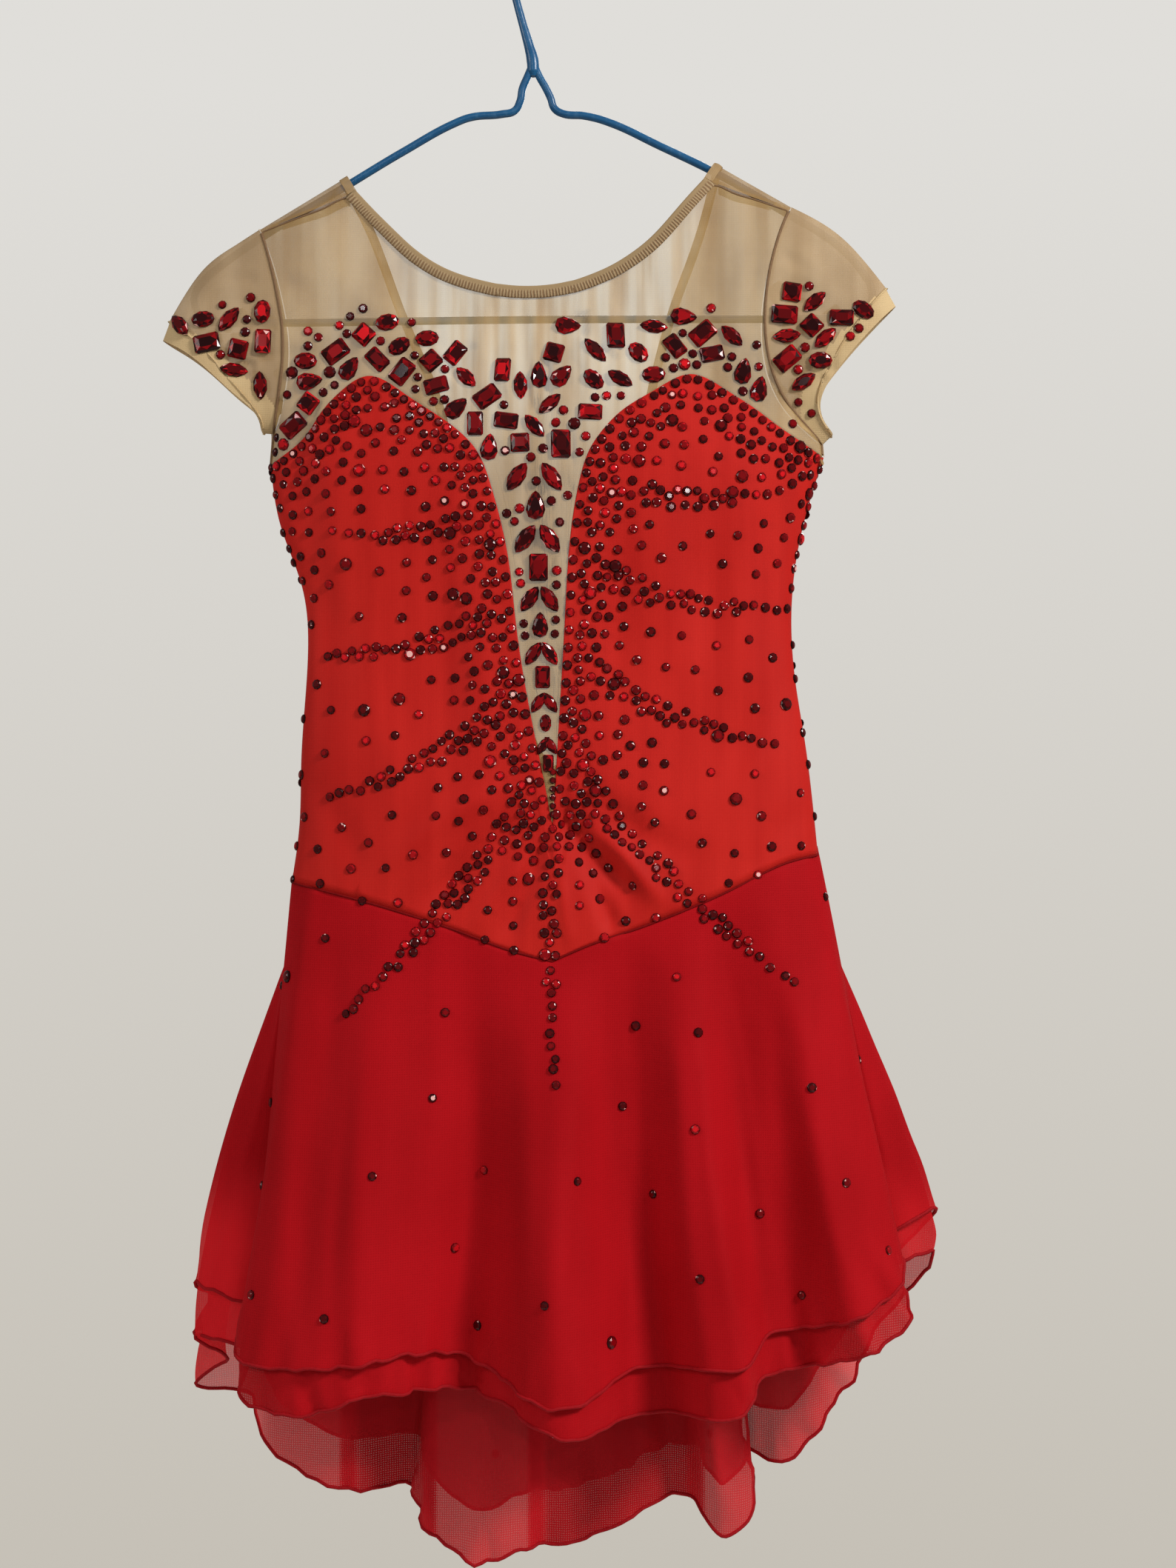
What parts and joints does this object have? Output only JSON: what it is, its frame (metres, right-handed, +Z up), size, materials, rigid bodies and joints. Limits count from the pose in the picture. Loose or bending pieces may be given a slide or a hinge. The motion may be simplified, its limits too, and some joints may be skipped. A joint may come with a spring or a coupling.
{
  "type": "figure skating dress on a wire hanger",
  "caption": "Cap-sleeved skating dress with a sheer nude yoke, deep V, dropped V waist and two-layer high-low skirt, set with glass stones, on a coated wire hanger.",
  "frame": {"origin": "inner top of the hanger's hook, where a rail carries it", "axes": "+Z up along the hanging dress, -Y out of its front, +X to the right of someone facing the front"},
  "size_m": [0.43, 0.112, 0.9176],
  "materials": {
    "hanger_coating": "smooth plastic coating",
    "nude_mesh": "fine stretch mesh, see-through",
    "neck_edging": "ribbed overlocked edge",
    "red_lycra": "matt stretch knit",
    "sheer_red": "see-through stretch mesh with rolled hems",
    "red_glass": "cut glass stones with foiled backs"
  },
  "bodies": {
    "root": {"hanger_hook": "hanger_coating", "hanger_neck": "hanger_coating", "hanger_arm_left": "hanger_coating", "hanger_arm_right": "hanger_coating", "hanger_bar": "hanger_coating", "front_yoke": "nude_mesh", "back_yoke_left": "nude_mesh", "back_yoke_right": "nude_mesh", "sleeve_left": "nude_mesh", "sleeve_right": "nude_mesh", "front_neck_edge": "neck_edging", "back_neck_edge_left": "neck_edging", "back_neck_edge_right": "neck_edging", "front_bodice": "red_lycra", "back_bodice": "red_lycra", "skirt_outer_front": "sheer_red", "skirt_under_front": "sheer_red", "skirt_outer_back": "sheer_red", "skirt_under_back": "sheer_red"}
  },
  "joints": []
}
